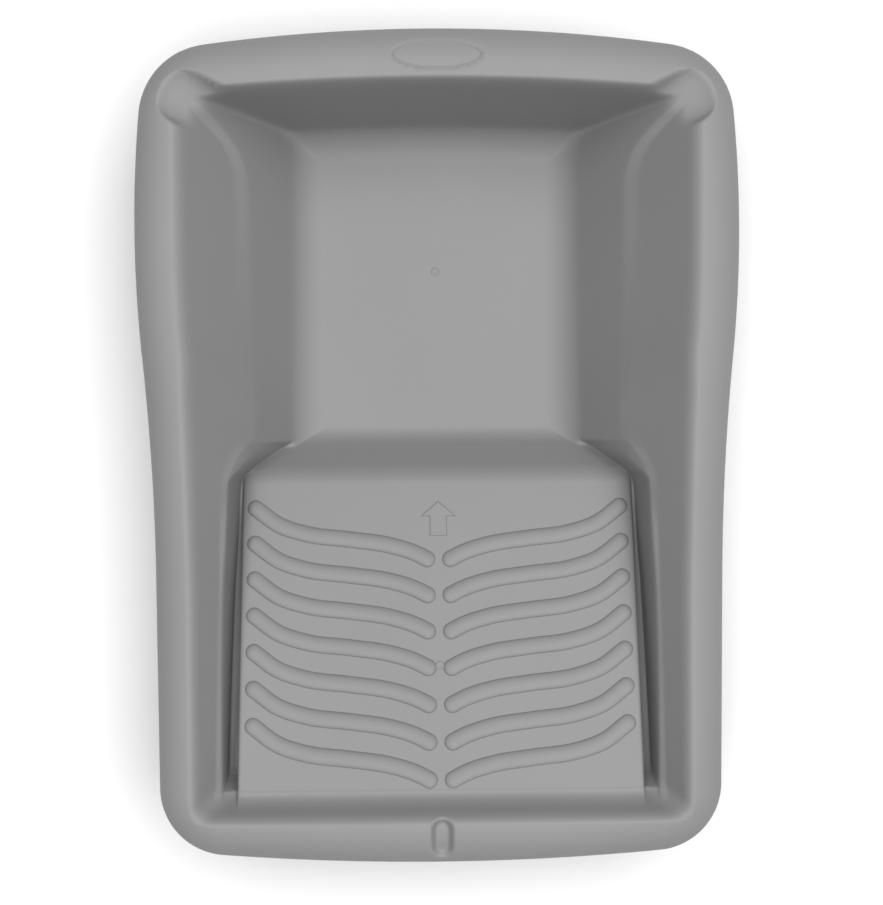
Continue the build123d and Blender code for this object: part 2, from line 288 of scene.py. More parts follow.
def island(x, y):
    """The raised ramp: its plane, rolled-off edges, upright sides and the riser."""
    roll = smooth_curve(ROLL_OFF, y)
    drop = ROLL_OFF_DROP * roll
    u = np.clip((x - (RAMP_HALF - roll)) / roll, 0, 1)
    top = ramp_plane(y) - drop * (1 - np.sqrt(1 - u * u))
    top = top - np.maximum(x - RAMP_HALF, 0) * SIDE_SLOPE
    over = np.clip(x - (RAMP_HALF - RISER_CORNER_R), 0, RISER_CORNER_R)
    back_off = RISER_CORNER_R - np.sqrt(RISER_CORNER_R ** 2 - over * over)
    riser = FLOOR_Z + (RISER_Y - y - back_off) * RISER_SLOPE
    return smooth_min(top, riser, RISER_ROUND)


def lower_wall(x, y):
    """The floor and the wall below the ledge, with the fillet between them."""
    wall_slope = smooth_curve(LOWER_SLOPE, y)
    radius = smooth_curve(BOTTOM_R, y)
    lean = np.arctan(wall_slope)
    wall = KNEE_Z + (x - smooth_curve(KNEE_X, y)) * wall_slope
    touch_z = FLOOR_Z + radius * (1 - np.cos(lean))
    touch_x = x + (touch_z - wall) / wall_slope
    flat_x = touch_x - radius * np.sin(lean)
    over = np.clip(x - flat_x, 0, radius * np.sin(lean))
    bend = FLOOR_Z + radius - np.sqrt(radius ** 2 - over ** 2)
    return np.where(wall > touch_z, wall, bend)


def upper_wall(x, y):
    """The wall from the ledge up to the rim's inner edge."""
    return RIM_TOP + (x - smooth_curve(RIM_EDGE, y)) * smooth_curve(UPPER_SLOPE, y)


def ledge_lines(y):
    """Distances from the middle of the ledge's lower and upper edge."""
    low = smooth_curve(KNEE_X, y) + (smooth_curve(LEDGE_LOW, y) - KNEE_Z) / smooth_curve(LOWER_SLOPE, y)
    rise = RIM_TOP - smooth_curve(LEDGE_HIGH, y)
    high = smooth_curve(RIM_EDGE, y) - rise / smooth_curve(UPPER_SLOPE, y)
    return low, np.maximum(high, low + LEAST_LEDGE)


def side_wall(x, y):
    """The whole side of the tub: lower wall, ledge, upper wall, and the gutter cut into it."""
    low_x, high_x = ledge_lines(y)
    low_z, high_z = smooth_curve(LEDGE_LOW, y), smooth_curve(LEDGE_HIGH, y)
    ledge = low_z + np.maximum(x - low_x, -LEDGE_REACH) * (high_z - low_z) / (high_x - low_x)
    below = smooth_min(lower_wall(x, y), ledge, LEDGE_LOW_ROUND)
    above = smooth_max(ledge, upper_wall(x, y), LEDGE_HIGH_ROUND)
    side = np.where(x < (low_x + high_x) / 2, below, above)
    slope = smooth_curve(GUTTER_SLOPE, y)
    gutter = smooth_curve(GUTTER_Z, y) + np.maximum(x - smooth_curve(GUTTER_OUT, y), 0) * slope
    return smooth_min(side, gutter, GUTTER_ROUND * slope)


def back_wall(y):
    """The drafted back wall with its fillet at the floor."""
    touch = BACK_FLOOR_Y + BACK_FILLET * cos(BACK_DRAFT)
    over = np.clip(y - BACK_FLOOR_Y, 0, touch - BACK_FLOOR_Y)
    bend = FLOOR_Z + BACK_FILLET - np.sqrt(BACK_FILLET ** 2 - over ** 2)
    touch_z = FLOOR_Z + BACK_FILLET * (1 - sin(BACK_DRAFT))
    slope = (RIM_TOP - touch_z) / (BACK_EDGE_Y - touch)
    return np.where(y > touch, touch_z + (y - touch) * slope, bend)


def soft_step(value, low, high):
    """0 below low, 1 above high, and smooth between."""
    t = np.clip((value - low) / (high - low), 0, 1)
    return t * t * (3 - 2 * t)


def above_floor(z):
    """0 on the floor, growing to 1 at the height where fillets have their full size."""
    return soft_step(z - FLOOR_Z, 0, FLOOR_FADE)


def spout(x, y):
    """The pouring spout: a round-ended trough that falls towards the tub."""
    dx, dy = x - SPOUT[0], y - SPOUT[1]
    along = -dx * cos(SPOUT_TURN) - dy * sin(SPOUT_TURN)
    across = dx * sin(SPOUT_TURN) - dy * cos(SPOUT_TURN)
    behind = np.clip((-along - SPOUT_BEND) / (SPOUT_R - SPOUT_BEND), 0, 1)
    run = np.clip(along + SPOUT_R, 0, 2 * SPOUT_R)
    depth = SPOUT_END_DEPTH * np.sqrt(1 - behind ** 2) + SPOUT_FALL * run
    half = SPOUT_R * np.sqrt(np.clip(1 - np.minimum(along, 0) ** 2 / SPOUT_R ** 2, TINY, 1))
    wide = np.abs(across) / half
    outside = np.where(along < 0, np.hypot(along, across) - SPOUT_R, np.abs(across) - SPOUT_R)
    outside = np.maximum(outside, along - SPOUT_R)
    dish = RIM_TOP - depth * np.sqrt(np.maximum(1 - wide ** 2, 0))
    return dish + np.maximum(outside, 0) * SPOUT_LIP_SLOPE


def height(x, y):
    """Height of the tray's upper face."""
    x = np.abs(x)
    side = side_wall(x, y)
    raised = smooth_max(island(x, y), FLOOR_Z, RISER_FILLET)
    z = smooth_max(side, raised, NO_FILLET + CREASE * above_floor(np.maximum(side, raised)))
    gutter_end = smooth_curve(GUTTER_Z, y) + (GUTTER_END_Y - y) * GUTTER_END_SLOPE
    z = smooth_max(z, np.minimum(gutter_end, smooth_curve(LEDGE_LOW, y)), END_FILLET)
    back = back_wall(y + BACK_BOW * x * x)
    front_slope = (RIM_TOP - END_WALL_FOOT[1]) / (END_WALL_FOOT[0] - FRONT_EDGE_Y)
    front = END_WALL_FOOT[1] + (END_WALL_FOOT[0] - y) * front_slope
    z = smooth_max(z, back, NO_FILLET + BACK_CORNER_FILLET * above_floor(z))
    z = smooth_max(z, front, END_FILLET + (END_CORNER_FILLET - END_FILLET) * soft_step(x, *END_CORNER))
    at_end = soft_step(np.maximum(back, front) - upper_wall(x, y), -RIM_ROUND_FADE, RIM_ROUND_FADE)
    end_round = np.where(y > 0, BACK_RIM_ROUND, FRONT_RIM_ROUND)
    rounding = SIDE_RIM_ROUND + at_end * (end_round - SIDE_RIM_ROUND)
    inside = rim_distance(x, y)
    u = np.clip((ROLL_WIDTH - inside) / ROLL_WIDTH, 0, 1)
    rim = RIM_TOP - ROLL_DROP * (1 - np.sqrt(1 - u * u))
    z = smooth_min(z, rim, rounding)
    z = smooth_min(z, spout(x, y), SPOUT_ROUND)
    z = z - notch(x, y) - badge(x, y)
    return np.minimum(z, RIM_TOP)


def notch(x, y):
    """How deep the handle notch, a round-ended trough, is cut into the front rim."""
    inside = NOTCH_R - np.hypot(x, np.maximum(np.abs(y - NOTCH_Y) - NOTCH_STRAIGHT, 0))
    return NOTCH_DEPTH * soft_step(inside, 0, NOTCH_FLANK)


def badge(x, y):
    """How deep the blank oval is sunk into the back rim."""
    reach = np.hypot(x / BADGE[0], (y - BADGE_Y) / BADGE[1])
    inner = np.clip((1 - reach) * BADGE[1] / BADGE_EDGE, 0, 1)
    return BADGE_DEPTH * inner * inner * (3 - 2 * inner)


# ---------------------------------------------------------------- the grid

def spread(low, high, count, ease=0.0):
    """Places from low (left out) to high; ease 1 crowds them at both ends, 0 spaces them evenly."""
    t = np.arange(1, count + 1) / count
    return low + (high - low) * ((1 - ease) * t + ease * (1 - np.cos(pi * t)) / 2)


ROWS = np.concatenate([
    [FRONT_EDGE_Y - 2.5],
    spread(FRONT_EDGE_Y - 2.5, -196, 38), spread(-196, -45, 56), spread(-45, -30, 10),
    spread(-30, 12, 46), spread(12, 160, 46), spread(160, 190, 22), spread(190, BACK_EDGE_Y + 4.0, 28),
])
BADGE_COLUMNS = 30
BADGE_COLUMN_CLEAR = 2.0 # how far the badge's columns run past it
CORNER_CLEAR = 12.0      # least distance from the grid to a rounded corner's outline
ROLL_COLUMNS = 13.0      # width of the band of columns over the ramp's rolled edge
RAMP_SIDE_COLUMN = 0.7   # least widths of the bands beside the ramp
GUTTER_COLUMN = 0.5
LEAST_BAND = 3.0         # least width of the bands between the ledge and the grid's edge
RIM_SHARE = 0.32         # how much of the rim the grid takes in before the rings begin
COLUMN_COUNTS = [BADGE_COLUMNS, 14, 12, 9, 4, 16, 8, 22, 7]
COLUMN_EASE = [0, 0, 0.4, 0.3, 0, 0.2, 0.3, 0, 0]
ZONES = ["centre", "field", "roll", "ramp_side", "gutter", "lower_wall", "ledge", "upper_wall", "rim"]


def corner_limit(y):
    """How far out the grid may reach at y, so that it stays inside the rim's rounded corners."""
    limit = inf
    for centre, radius, past in ((BACK_CORNER, BACK_CORNER_R, 1), (FRONT_CORNER, FRONT_CORNER_R, -1)):
        if (y - centre[1]) * past > 0:
            limit = centre[0] + sqrt((radius - CORNER_CLEAR) ** 2 - (y - centre[1]) ** 2)
    return limit


def column_places(y):
    """Distances from the middle of the grid's columns at y, which follow the tub's features."""
    meet = float(smooth_curve(GUTTER_OUT, y))
    foot = min(RAMP_HALF + RAMP_SIDE_COLUMN, meet - GUTTER_COLUMN)
    edge = min(RAMP_HALF, foot - RAMP_SIDE_COLUMN)
    ledge_low, ledge_high = (float(v) for v in ledge_lines(y))
    rim_edge = float(smooth_curve(RIM_EDGE, y))
    rim_out = rim_edge + RIM_SHARE * (float(side_x(y)) - rim_edge)
    rim_out = min(rim_out, corner_limit(y))
    rim_edge = min(rim_edge, rim_out - LEAST_BAND)
    ledge_high = min(ledge_high, rim_edge - LEAST_BAND)
    ledge_low = min(ledge_low, ledge_high - LEAST_LEDGE)
    marks = [BADGE[0] + BADGE_COLUMN_CLEAR, edge - ROLL_COLUMNS, edge, foot, meet]
    marks += [ledge_low, ledge_high, rim_edge, rim_out]
    places = [np.zeros(1)]
    low = 0.0
    for high, count, ease in zip(marks, COLUMN_COUNTS, COLUMN_EASE):
        places.append(spread(low, high, count, ease))
        low = high
    return np.concatenate(places)


# Beside the riser the columns swing outwards fast, so they are evened out along Y there
EVEN_PASSES = 3
EVEN_ROWS = (ROWS > -20) & (ROWS < 60)
half_columns = np.array([column_places(y) for y in ROWS])
for _ in range(EVEN_PASSES):
    blurred = half_columns.copy()
    blurred[1:-1] = 0.25 * half_columns[:-2] + 0.5 * half_columns[1:-1] + 0.25 * half_columns[2:]
    half_columns[EVEN_ROWS] = blurred[EVEN_ROWS]
grid_x = np.hstack([-half_columns[:, :0:-1], half_columns])
grid_y = np.repeat(ROWS[:, None], grid_x.shape[1], axis=1)
grid_z = height(grid_x, grid_y)
zone_of_half = np.repeat(np.arange(len(ZONES)), COLUMN_COUNTS)
zone_of_column = np.concatenate([zone_of_half[::-1], zone_of_half])
row_count, column_count = grid_x.shape


def outline_from_end(x, back, edge_x):
    """Outline point and outward direction for a place on the grid's back or front edge."""
    centre, radius, turn = (BACK_CORNER, BACK_CORNER_R, BACK_TURN) if back else (
        FRONT_CORNER, FRONT_CORNER_R, FRONT_TURN)
    away = abs(x)
    touch = centre[0] + radius * cos(turn[1])
    if away > touch:
        angle = turn[1] + (turn[0] - turn[1]) * 0.5 * (away - touch) / (edge_x - touch)
        normal = (cos(angle), sin(angle))
        point = (centre[0] + radius * normal[0], centre[1] + radius * normal[1])
    else:
        middle = BACK_CENTRE_Y if back else FRONT_CENTRE_Y
        point = (away, float(end_y(away, back)))
        span = BACK_R if back else FRONT_R
        normal = (point[0] / span, (point[1] - middle) / span)
    return point, normal


def outline_from_side(y, low_y, high_y):
    """Outline point and outward direction for a place on the grid's right edge."""
    for centre, radius, turn, end in ((BACK_CORNER, BACK_CORNER_R, BACK_TURN, high_y),
                                      (FRONT_CORNER, FRONT_CORNER_R, FRONT_TURN, low_y)):
        touch = centre[1] + radius * sin(turn[0])
        share = 0.5 * (y - touch) / (end - touch)
        if share > 0:
            angle = turn[0] + (turn[1] - turn[0]) * share
            normal = (cos(angle), sin(angle))
            return (centre[0] + radius * normal[0], centre[1] + radius * normal[1]), normal
    point = (float(side_x(y)), y)
    if y > BULGE_START[1]:
        return point, ((point[0] - BULGE_CENTRE[0]) / abs(BULGE_R), (y - BULGE_CENTRE[1]) / abs(BULGE_R))
    if y > WAIST_START[1]:
        return point, ((WAIST_CENTRE[0] - point[0]) / WAIST_R, (WAIST_CENTRE[1] - y) / WAIST_R)
    return point, (cos(side_angle), -sin(side_angle))


def grid_edge():
    """The grid's edge as row and column numbers, counter-clockwise from the front left corner."""
    last_row, last_column = row_count - 1, column_count - 1
    front = [(0, c) for c in range(last_column)]
    right = [(r, last_column) for r in range(last_row)]
    back = [(last_row, c) for c in range(last_column, 0, -1)]
    left = [(r, 0) for r in range(last_row, 0, -1)]
    return front + right + back + left


def edge_outline(row, column):
    """Outline point and outward direction that belong to a vertex of the grid's edge."""
    x, y = grid_x[row, column], grid_y[row, column]
    if row in (0, row_count - 1):
        point, normal = outline_from_end(x, row > 0, abs(grid_x[row, -1]))
    else:
        point, normal = outline_from_side(y, ROWS[0], ROWS[-1])
    flip = -1 if x < 0 else 1
    return (flip * point[0], point[1]), (flip * normal[0], normal[1])


edge_cells = grid_edge()
edge_count = len(edge_cells)
edge_start = np.array([(grid_x[rc], grid_y[rc]) for rc in edge_cells])
pairs = [edge_outline(*rc) for rc in edge_cells]
outline = np.array([p for p, _ in pairs])
outward = np.array([n for _, n in pairs])

# Rings run from the grid's edge out to the outline: evenly at first, then square to the outline
OUTER_RINGS = np.array([9.4, 8.0, 6.6, 5.3, 4.0, 2.8, 1.8, 1.0, 0.45, 0.12, 0.0])
INNER_RINGS = 13
rings = []
shoulder = outline - outward * OUTER_RINGS[0]
for k in range(1, INNER_RINGS):
    rings.append(edge_start + (shoulder - edge_start) * k / INNER_RINGS)
for inset in OUTER_RINGS:
    rings.append(outline - outward * inset)
ring_xyz = []
for ring in rings:
    ring_xyz.append(np.column_stack([ring, height(ring[:, 0], ring[:, 1])]))
ROLL_FOOT = RIM_TOP - ROLL_DROP
ring_xyz[-1][:, 2] = ROLL_FOOT
SKIRT_END = LIP_Z + WALL / 2
for z in (ROLL_FOOT + (SKIRT_END - ROLL_FOOT) / 2, SKIRT_END):
    ring_xyz.append(np.column_stack([outline, np.full(edge_count, z)]))

grid_points = np.column_stack([grid_x.ravel(), grid_y.ravel(), grid_z.ravel()])
top_points = np.vstack([grid_points] + ring_xyz)
top_count = len(top_points)


def vertex_id(row, column):
    """Vertex number on the grid."""
    return row * column_count + column


def ring_id(ring, place):
    """Vertex number on a ring; ring -1 is the grid's own edge."""
    place = place % edge_count
    if ring < 0:
        return vertex_id(*edge_cells[place])
    return row_count * column_count + ring * edge_count + place


ring_count = len(ring_xyz)
top_faces = []
face_owner = []


# ---------------------------------------------------------------- which node each face stands for

def side_name(x, name):
    """A node's name for the side that x is on."""
    return ("right_" if x > 0 else "left_") + name


SPOUT_FROM = (128.0, 186.0)
PART_BACK_Y = 186.0
PART_END_Y = -204.0
PART_RISER_Y = 10.0
PART_RIM_BACK = (122.0, 190.0)
PART_RIM_FRONT_Y = -200.0
PART_NOTCH_X = 13.0
OWNER_OF_ZONE = {"lower_wall": "gutter", "gutter": "gutter", "ramp_side": "gutter"}


def tub_owner(x, y, zone):
    """The CAD node that a face of the grid stands for."""
    if zone == "rim":
        return rim_owner(x, y)
    if y > BACK_EDGE_Y - 1:
        return rim_owner(x, y)
    if y < FRONT_EDGE_Y + 1:
        return rim_owner(x, y)
    if y > PART_BACK_Y:
        return "back_wall"
    if y < PART_END_Y:
        return "front_wall"
    if zone in ("ledge", "upper_wall"):
        return side_name(x, "side_wall")
    if zone in OWNER_OF_ZONE:
        if y < PART_RISER_Y:
            return side_name(x, "gutter")
        return side_name(x, "well_wall")
    if y < RAMP_FOOT_Y:
        return "ramp"
    return "riser" if y < PART_RISER_Y else "well_floor"


def rim_owner(x, y):
    """The CAD node that a face of the rim stands for."""
    if y > PART_RIM_BACK[1] and abs(x) < PART_RIM_BACK[0]:
        return "back_rim"
    if y < PART_RIM_FRONT_Y:
        return "handle_notch" if abs(x) < PART_NOTCH_X else side_name(x, "front_rim")
    return side_name(x, "rim")


for r in range(row_count - 1):
    for c in range(column_count - 1):
        corners = [vertex_id(r, c), vertex_id(r, c + 1), vertex_id(r + 1, c + 1), vertex_id(r + 1, c)]
        middle = top_points[corners].mean(axis=0)
        zone = ZONES[zone_of_column[c]]
        owner = tub_owner(middle[0], middle[1], zone)
        in_corner = abs(middle[0]) > SPOUT_FROM[0] and middle[1] > SPOUT_FROM[1]
        if owner.endswith("rim") and in_corner:
            owner = side_name(middle[0], "spout")
        top_faces.append(corners)
        face_owner.append(owner)
segment_owner = []
for n in range(edge_count):
    middle = (edge_start[n] + edge_start[(n + 1) % edge_count]) / 2
    segment_owner.append(rim_owner(middle[0], middle[1]))
for k in range(-1, ring_count - 1):
    for n in range(edge_count):
        top_faces.append([ring_id(k, n), ring_id(k + 1, n), ring_id(k + 1, n + 1), ring_id(k, n + 1)])
        face_owner.append(segment_owner[n])


# ---------------------------------------------------------------- from surface to solid shell

def mesh_of(points, faces, name):
    """A mesh from points in millimetres."""
    mesh = bpy.data.meshes.new(name)
    mesh.from_pydata((np.asarray(points) * MM).tolist(), [], [list(map(int, f)) for f in faces])
    mesh.polygons.foreach_set("use_smooth", [True] * len(mesh.polygons))
    mesh.update()
    return mesh


def vertex_normals(points, faces):
    """Smooth normals of a surface at its points."""
    mesh = mesh_of(points, faces, "measure")
    normals = np.zeros(len(points) * 3, np.float32)
    mesh.vertex_normals.foreach_get("vector", normals)
    bpy.data.meshes.remove(mesh)
    return normals.reshape(-1, 3).astype(float)


top_normals = vertex_normals(top_points, top_faces)
under_points = top_points - top_normals * WALL
under_points[:, 2] = np.maximum(under_points[:, 2], 0.0)
last_ring = slice(top_count - edge_count, top_count)
lip_centre = (top_points[last_ring] + under_points[last_ring]) / 2
lip_points = []
LIP_STEPS = 3
for k in range(1, LIP_STEPS + 1):
    angle = pi * k / (LIP_STEPS + 1)
    swing = np.column_stack([outward * cos(angle), np.full(edge_count, -sin(angle))])
    lip_points.append(lip_centre + swing * WALL / 2)
shell_points = np.vstack([top_points, under_points] + lip_points)


def lip_id(step, place):
    """Vertex number across the skirt's lip: step 0 is outside, the last one is inside."""
    place = place % edge_count
    outside = top_count - edge_count + place
    if step == 0:
        return outside
    if step > LIP_STEPS:
        return outside + top_count
    return 2 * top_count + (step - 1) * edge_count + place


lip_faces = []
lip_owner = []
for k in range(LIP_STEPS + 1):
    for n in range(edge_count):
        lip_faces.append([lip_id(k, n), lip_id(k + 1, n), lip_id(k + 1, n + 1), lip_id(k, n + 1)])
        lip_owner.append(segment_owner[n])
under_faces = [[v + top_count for v in reversed(face)] for face in top_faces]
shell_normals = vertex_normals(shell_points, top_faces + under_faces + lip_faces)


def seam_faces(faces):
    """Faces through the wall's thickness along the edge of a patch of the upper face."""
    count = {}
    for face in faces:
        for a, b in zip(face, face[1:] + face[:1]):
            key = (min(a, b), max(a, b))
            count[key] = None if key in count else (a, b)
    skirt_from = top_count - edge_count
    seams = []
    for pair in count.values():
        if pair and not (pair[0] >= skirt_from and pair[1] >= skirt_from):
            a, b = pair
            seams.append([b, a, a + top_count, b + top_count])
    return seams


def lip_seams(owner):
    """The ends of a stretch of lip, where it meets the next node."""
    ends = []
    for n in range(edge_count):
        before, after = segment_owner[n - 1], segment_owner[n]
        if before == after or owner not in (before, after):
            continue
        section = [lip_id(k, n) for k in range(LIP_STEPS + 2)]
        ends.append(section if owner == after else section[::-1])
    return ends


def make_piece(name, faces, seams):
    """One closed solid of the shell, shaded as part of the whole moulding."""
    used = sorted({v for face in faces + seams for v in face})
    number = {v: k for k, v in enumerate(used)}
    local = [[number[v] for v in face] for face in faces + seams]
    mesh = mesh_of(shell_points[used], local, name)
    normals = []
    for polygon in mesh.polygons:
        if polygon.index < len(faces):
            normals += [shell_normals[used[v]] for v in polygon.vertices]
        else:
            normals += [np.array(polygon.normal)] * len(polygon.vertices)
    mesh.normals_split_custom_set([tuple(n) for n in normals])
    piece = bpy.data.objects.new(name, mesh)
    bpy.context.scene.collection.objects.link(piece)
    return piece


shell_pieces = {}
for owner in sorted(set(face_owner)):
    upper = [face for face, name in zip(top_faces, face_owner) if name == owner]
    under = [[v + top_count for v in reversed(face)] for face in upper]
    lip = [face for face, name in zip(lip_faces, lip_owner) if name == owner]
    shell_pieces[owner] = make_piece("skin_" + owner, upper + under + lip,
                                     seam_faces(upper) + (lip_seams(owner) if lip else []))
for owner, piece in shell_pieces.items():
    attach(piece, "root")
    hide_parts(owner)


# ---------------------------------------------------------------- ribs, arrow and gate marks

RIB_PATH = [(111.4, 0.0), (97, -10.2), (80, -15.8), (54, -19.2), (30, -22.8), (14, -27.8), (7, -31.3)]
RIB_ROWS = 7
RIB_FIRST_Y = -37.8
RIB_PITCH = 21.37
RIB_HALF = 4.9
RIB_HEIGHT = 2.5
RIB_STEPS = 64
RIB_ACROSS = 14
RIB_END_STEPS = 7
BURIED = 0.7             # how far an applied detail reaches below the surface it stands on
SHARP_ANGLE = 35.0       # edges sharper than this stay crisp
MERGE_DISTANCE = 0.00002 # in metres


def rib_line():
    """Evenly spaced points along a rib's centre line, and its sideways direction there."""
    knots = np.array(RIB_PATH)
    reach = np.concatenate([[0], np.cumsum(np.hypot(*np.diff(knots, axis=0).T))])
    s = np.linspace(0, reach[-1], RIB_STEPS + 1)
    x = catmull(reach, knots[:, 0], s)
    y = catmull(reach, knots[:, 1], s)
    along = np.column_stack([np.gradient(x, s), np.gradient(y, s)])
    along /= np.linalg.norm(along, axis=1)[:, None]
    return np.column_stack([x, y]), along


def catmull(ts, vs, t):
    """A curve through values vs at ts, with smooth tangents."""
    tangent = np.gradient(vs, ts)
    k = np.clip(np.searchsorted(ts, t) - 1, 0, len(ts) - 2)
    step = ts[k + 1] - ts[k]
    u = (t - ts[k]) / step
    return (vs[k] * (1 + 2 * u) * (1 - u) ** 2 + tangent[k] * step * u * (1 - u) ** 2
            + vs[k + 1] * u * u * (3 - 2 * u) + tangent[k + 1] * step * u * u * (u - 1))


def rib_stations():
    """Stations along a rib: centre, direction, half-width and distance past the line's end."""
    line, along = rib_line()
    stations = []
    for k in range(RIB_END_STEPS, 0, -1):
        angle = 0.5 * pi * k / RIB_END_STEPS
        past = RIB_HALF * sin(angle)
        stations.append((line[0] - along[0] * past, along[0], RIB_HALF * cos(angle), past))
    for point, direction in zip(line, along):
        stations.append((point, direction, RIB_HALF, 0.0))
    for k in range(1, RIB_END_STEPS + 1):
        angle = 0.5 * pi * k / RIB_END_STEPS
        past = RIB_HALF * sin(angle)
        stations.append((line[-1] + along[-1] * past, along[-1], RIB_HALF * cos(angle), past))
    return stations


def surface_patch(flat, rise, name):
    """A closed raised detail: a grid of plan points, its rise above the tray, and a buried base."""
    rows, across = flat.shape[:2]
    points = flat.reshape(-1, 2)
    base = height(points[:, 0], points[:, 1])
    top = np.column_stack([points, base + rise.ravel()])
    foot = np.column_stack([points, base - BURIED])
    faces = []
    size = rows * across
    for r in range(rows - 1):
        for c in range(across - 1):
            a, b = r * across + c, r * across + c + 1
            d, e = b + across, a + across
            faces.append([a, b, d, e])
            faces.append([e + size, d + size, b + size, a + size])
    rim = [c for c in range(across)] + [r * across + across - 1 for r in range(1, rows)]
    rim += [(rows - 1) * across + c for c in range(across - 2, -1, -1)]
    rim += [r * across for r in range(rows - 2, 0, -1)]
    for a, b in zip(rim, rim[1:] + rim[:1]):
        faces.append([b, a, a + size, b + size])
    return tidy_piece(np.vstack([top, foot]), faces, name)


def tidy_piece(points, faces, name, sharp=SHARP_ANGLE):
    """A closed piece: coincident points merged, faces turned outwards, sharp edges kept."""
    mesh = mesh_of(points, faces, name)
    work = bmesh.new()
    work.from_mesh(mesh)
    bmesh.ops.remove_doubles(work, verts=work.verts, dist=MERGE_DISTANCE)
    bmesh.ops.recalc_face_normals(work, faces=work.faces)
    work.to_mesh(mesh)
    work.free()
    mesh.set_sharp_from_angle(angle=radians(sharp))
    piece = bpy.data.objects.new(name, mesh)
    bpy.context.scene.collection.objects.link(piece)
    return piece


def make_rib(row, side):
    """One raised S-curved bead of the ramp, half round with rounded ends."""
    across = np.sin(np.linspace(-0.5 * pi, 0.5 * pi, RIB_ACROSS + 1))
    flat, rise = [], []
    start_y = RIB_FIRST_Y - row * RIB_PITCH
    for centre, direction, half, past in rib_stations():
        sideways = np.array([-direction[1], direction[0]])
        points = centre + np.outer(across * half, sideways) + (0, start_y)
        distance = np.hypot(across * half, past) / RIB_HALF
        flat.append(points * (side, 1))
        rise.append(RIB_HEIGHT * np.sqrt(np.maximum(1 - distance ** 2, 0)))
    name = ("right" if side > 0 else "left") + "_rib_" + str(row + 1)
    piece = surface_patch(np.array(flat), np.array(rise), "skin_" + name)
    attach(piece, "root")
    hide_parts(name)
    return piece


detail_pieces = [make_rib(row, side) for row in range(RIB_ROWS) for side in (1, -1)]

ARROW_Y = -44.6
ARROW_SIZE = (21.8, 21.2)
ARROW_SHAFT = 10.5
ARROW_HEAD = 9.4
ARROW_RISE = 0.75
ARROW_BEVEL = 0.5
ARROW_TIP_BEVEL = 1.4    # how much further than the bevel the tip and the barbs draw in
ARROW_BARB_BEVEL = 2.4
ARROW_FOOT_RISE = 0.15   # height at which the bevel begins
ARROW_SHARP = 20.0
HEAD_CORNERS = [0, 1, 2, 5, 6]      # which corners of the outline make the head, and the shaft
SHAFT_CORNERS = [2, 3, 4, 5]


def arrow_outline(inset):
    """The arrow's corners from the tip, anticlockwise, drawn in by the inset."""
    tip = ARROW_Y + ARROW_SIZE[1] / 2 - ARROW_TIP_BEVEL * inset
    tail = ARROW_Y - ARROW_SIZE[1] / 2 + inset
    neck = ARROW_Y + ARROW_SIZE[1] / 2 - ARROW_HEAD + inset
    barb = ARROW_SIZE[0] / 2 - ARROW_BARB_BEVEL * inset
    shaft = ARROW_SHAFT / 2 - inset
    left = [(-barb, neck), (-shaft, neck), (-shaft, tail)]
    return [(0, tip)] + left + [(-x, y) for x, y in reversed(left)]


def make_arrow():
    """The raised arrow, with its upper edge bevelled."""
    outer = arrow_outline(0)
    flat = np.array(outer + outer + arrow_outline(ARROW_BEVEL), float)
    base = height(flat[:, 0], flat[:, 1])
    count = len(outer)
    lift = np.repeat([-BURIED, ARROW_FOOT_RISE, ARROW_RISE], count)
    points = np.column_stack([flat, base + lift])
    faces = []
    for low in (0, count):
        for k in range(count):
            n = (k + 1) % count
            faces.append([low + k, low + n, low + n + count, low + k + count])
    for corners in (HEAD_CORNERS, SHAFT_CORNERS):
        faces.append([2 * count + k for k in corners])
        faces.append(list(reversed(corners)))
    piece = tidy_piece(points, faces, "skin_arrow", sharp=ARROW_SHARP)
    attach(piece, "root")
    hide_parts("arrow")
    return piece


detail_pieces.append(make_arrow())

BORDER = (25.7, 8.1)     # centre line of the bead that edges the blank oval
BORDER_HALF = 0.6
BORDER_RISE = 0.65
BORDER_STEPS = 160
BORDER_ACROSS = 8
BORDER_SHARP = 50.0


def make_border():
    """The low half-round bead just inside the edge of the blank oval."""
    points = []
    section = BORDER_ACROSS + 3
    for angle in np.linspace(0, 2 * pi, BORDER_STEPS, endpoint=False):
        line = np.array([BORDER[0] * cos(angle), BORDER[1] * sin(angle)])
        away = np.array([BORDER[1] * cos(angle), BORDER[0] * sin(angle)])
        away /= hypot(*away)
        turn = np.linspace(0, pi, BORDER_ACROSS + 1)
        flat = line + np.outer(np.cos(turn) * BORDER_HALF, away) + (0, BADGE_Y)
        base = float(height(*(line + (0, BADGE_Y))))
        ring = [(x, y, base + BORDER_RISE * sin(t)) for (x, y), t in zip(flat, turn)]
        ring += [(*flat[-1], base - BURIED), (*flat[0], base - BURIED)]
        points += ring
    faces = []
    for n in range(BORDER_STEPS):
        here, there = n * section, (n + 1) % BORDER_STEPS * section
        for k in range(section):
            m = (k + 1) % section
            faces.append([here + k, here + m, there + m, there + k])
    piece = tidy_piece(points, faces, "badge_border", sharp=BORDER_SHARP)
    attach(piece, "root")
    return piece


detail_pieces.append(make_border())

GATE_MARKS = {"floor_gate_mark": (0.0, 110.0), "ramp_gate_mark": (0.0, -132.0)}
GATE_R = 2.7
GATE_PROFILE = [(0.0, 0.05), (0.35, 0.05), (0.6, 0.3), (0.78, 0.42), (0.92, 0.2), (1.0, 0.0)]
GATE_STEPS = 32
GATE_SHARP = 60.0


